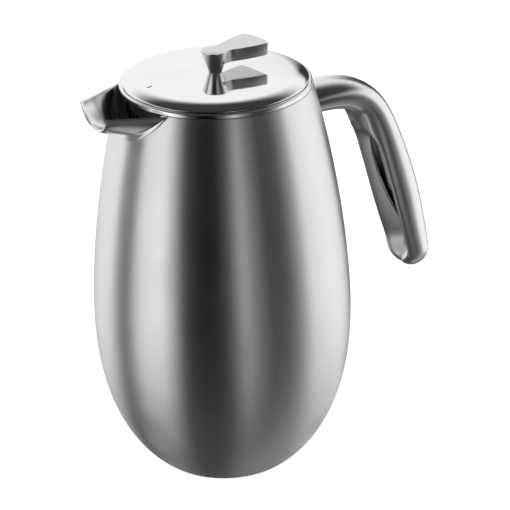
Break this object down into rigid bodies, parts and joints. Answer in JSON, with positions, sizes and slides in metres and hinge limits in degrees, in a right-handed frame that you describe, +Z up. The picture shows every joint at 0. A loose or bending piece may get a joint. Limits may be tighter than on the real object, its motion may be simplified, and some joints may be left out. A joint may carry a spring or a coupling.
{
  "type": "french press",
  "caption": "Egg-shaped double-wall steel coffee press with an open spout, a curved handle, a domed lid and a plunger with a flat flared knob.",
  "frame": {"origin": "centre of the foot pad's resting face, on the jug's axis", "axes": "+Z up along the jug's axis, +X towards the handle, -X towards the spout, +Y across"},
  "size_m": [0.184, 0.126, 0.2097],
  "materials": {
    "satin_shell": "satin, finely brushed round the axis",
    "inner_steel": "plain drawn steel",
    "polished_steel": "mirror polished stainless steel",
    "spout_steel": "polished inside, satin outside",
    "handle_steel": "polished stainless steel",
    "knob_steel": "polished sides, satin top",
    "rod_steel": "bright drawn bar",
    "filter_steel": "stamped plate",
    "coil_steel": "fine wound wire",
    "mesh_steel": "woven wire",
    "foot_rubber": "matt moulded",
    "seal_silicone": "soft, matt",
    "black_plastic": "fine moulded grain",
    "bush_plastic": "natural nylon"
  },
  "bodies": {
    "vessel": {"outer_shell": "satin_shell", "inner_beaker": "inner_steel", "rim_band": "polished_steel", "spout_throat": "inner_steel", "spout": "spout_steel", "base_cap": "inner_steel", "foot_pad": "foot_rubber", "handle_left_half": "handle_steel", "handle_right_half": "handle_steel", "handle_bracket": "inner_steel"},
    "lid_seal": {"lid_gasket": "seal_silicone"},
    "lid": {"lid_top": "polished_steel", "lid_skirt": "black_plastic", "lid_sleeve": "rod_steel", "lid_nut": "rod_steel"},
    "bush": {"rod_bush": "bush_plastic"},
    "plunger": {"knob": "knob_steel", "plunger_rod": "rod_steel", "rod_collar": "rod_steel", "spreader_plate": "filter_steel", "edge_coil": "coil_steel", "mesh_screen": "mesh_steel", "cross_plate": "filter_steel", "hub_nut": "rod_steel"}
  },
  "joints": [
    {"name": "lid_lift", "type": "slide", "parent": "vessel", "child": "lid_seal", "axis": [0, 0, 1], "range_m": [0, 0.215]},
    {"name": "lid_turn", "type": "hinge", "parent": "lid_seal", "child": "lid", "pos_m": [0, 0, 0.19], "axis": [0, 0, 1], "continuous": true},
    {"name": "knob_turn", "type": "hinge", "parent": "lid", "child": "bush", "pos_m": [0, 0, 0.19], "axis": [0, 0, 1], "continuous": true},
    {"name": "plunger_press", "type": "slide", "parent": "bush", "child": "plunger", "axis": [0, 0, 1], "range_m": [0, 0.155]}
  ]
}
